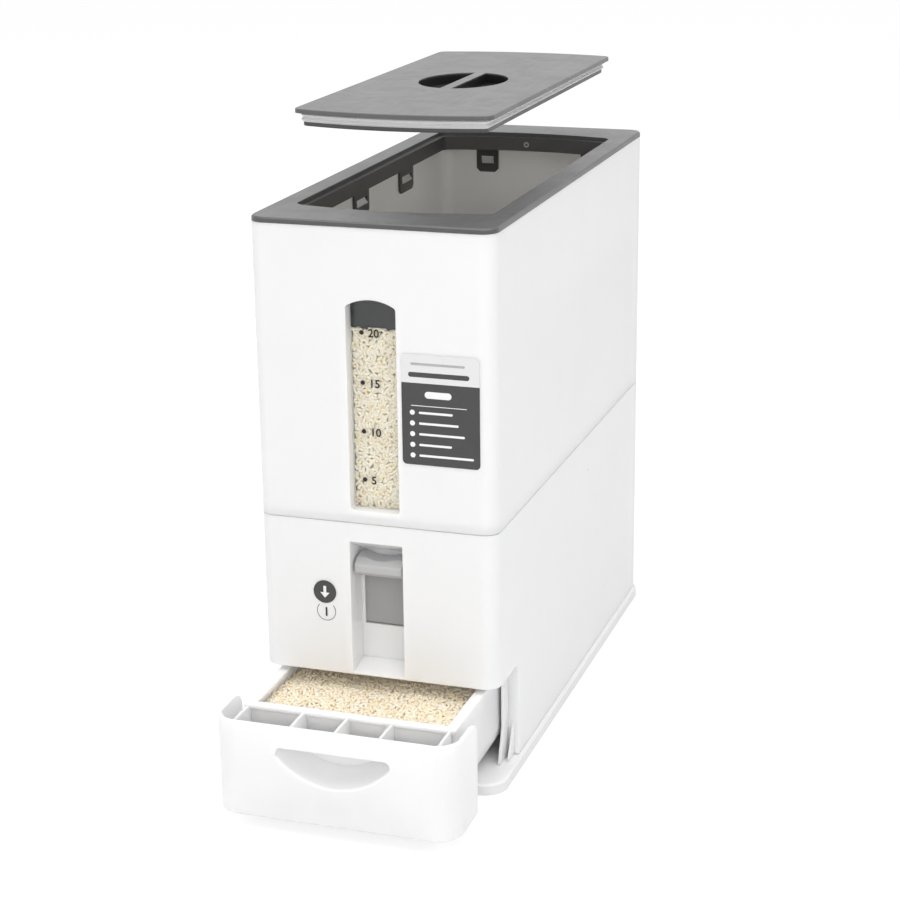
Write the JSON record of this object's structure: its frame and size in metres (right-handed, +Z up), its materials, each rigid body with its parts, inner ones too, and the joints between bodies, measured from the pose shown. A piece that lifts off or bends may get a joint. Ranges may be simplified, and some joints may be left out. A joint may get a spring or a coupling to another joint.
{
  "type": "rice dispenser",
  "caption": "Slim grain keeper with a sealed lift-off lid, a view window, a press lever that turns a metering drum, and a pull-out drawer below.",
  "frame": {"origin": "on the floor, under the middle of the housing", "axes": "+X to the right as seen from the front, +Y to the back, +Z up; the drawer opens along -Y"},
  "size_m": [0.191, 0.5416, 0.4995],
  "materials": {
    "white_shell": "satin",
    "white_base": "satin",
    "drawer_plastic": "satin",
    "rim_grey": "satin",
    "lid_grey": "satin",
    "lid_under_grey": "satin",
    "knob_grey": "satin",
    "slider_grey": "satin",
    "lens_clear": "polished",
    "inner_white": "satin",
    "gear_plastic": "satin",
    "steel": "brushed",
    "seal_rubber": "matte",
    "pad_rubber": "matte"
  },
  "bodies": {
    "housing": {"base_plate": "white_base", "pad_front_left": "pad_rubber", "pad_front_right": "pad_rubber", "pad_back_left": "pad_rubber", "pad_back_right": "pad_rubber", "lower_housing": "white_shell", "upper_housing": "white_shell", "window_lens": "lens_clear", "window_frame": "inner_white", "rim_frame": "rim_grey", "hopper_floor": "inner_white", "meter_trough": "inner_white", "meter_cover": "inner_white", "idler_pin": "steel", "gear_bracket": "inner_white", "lever_guide": "inner_white"},
    "lever": {"lever_knob": "knob_grey", "lever_slider": "slider_grey", "return_springs": "steel"},
    "drum": {"drum_left": "inner_white", "drum_right": "inner_white", "drum_axle": "steel", "drum_pinion": "gear_plastic"},
    "idler": {"idler_gear": "gear_plastic"},
    "drawer": {"drawer_front": "drawer_plastic", "drawer_bin": "drawer_plastic"},
    "lid": {"lid_top_plate": "lid_grey", "lid_seal": "seal_rubber", "lid_bottom_plate": "lid_under_grey"}
  },
  "joints": [
    {"name": "drawer_slide", "type": "slide", "parent": "housing", "child": "drawer", "axis": [0, -1, 0], "range_m": [-0.1, 0.06]},
    {"name": "lid_lift", "type": "slide", "parent": "housing", "child": "lid", "axis": [0, 0, 1], "range_m": [-0.0695, 0.06]},
    {"name": "lever_press", "type": "slide", "parent": "housing", "child": "lever", "axis": [0, 0, -1], "range_m": [0, 0.02827], "stiffness_N_per_m": 150, "springref_m": -0.012, "deforming": ["return_springs"]},
    {"name": "idler_turn", "type": "hinge", "parent": "housing", "child": "idler", "pos_m": [0, -0.1623, 0.124], "axis": [1, 0, 0], "range_deg": [-0.5, 68]},
    {"name": "drum_turn", "type": "hinge", "parent": "housing", "child": "drum", "pos_m": [0, -0.13028, 0.116], "axis": [1, 0, 0], "range_deg": [-180.5, 0.5]}
  ],
  "couplings": [
    {"joint": "idler_turn", "follows": "lever_press", "rad_per_m": 41.667},
    {"joint": "drum_turn", "follows": "lever_press", "rad_per_m": -111.11}
  ]
}
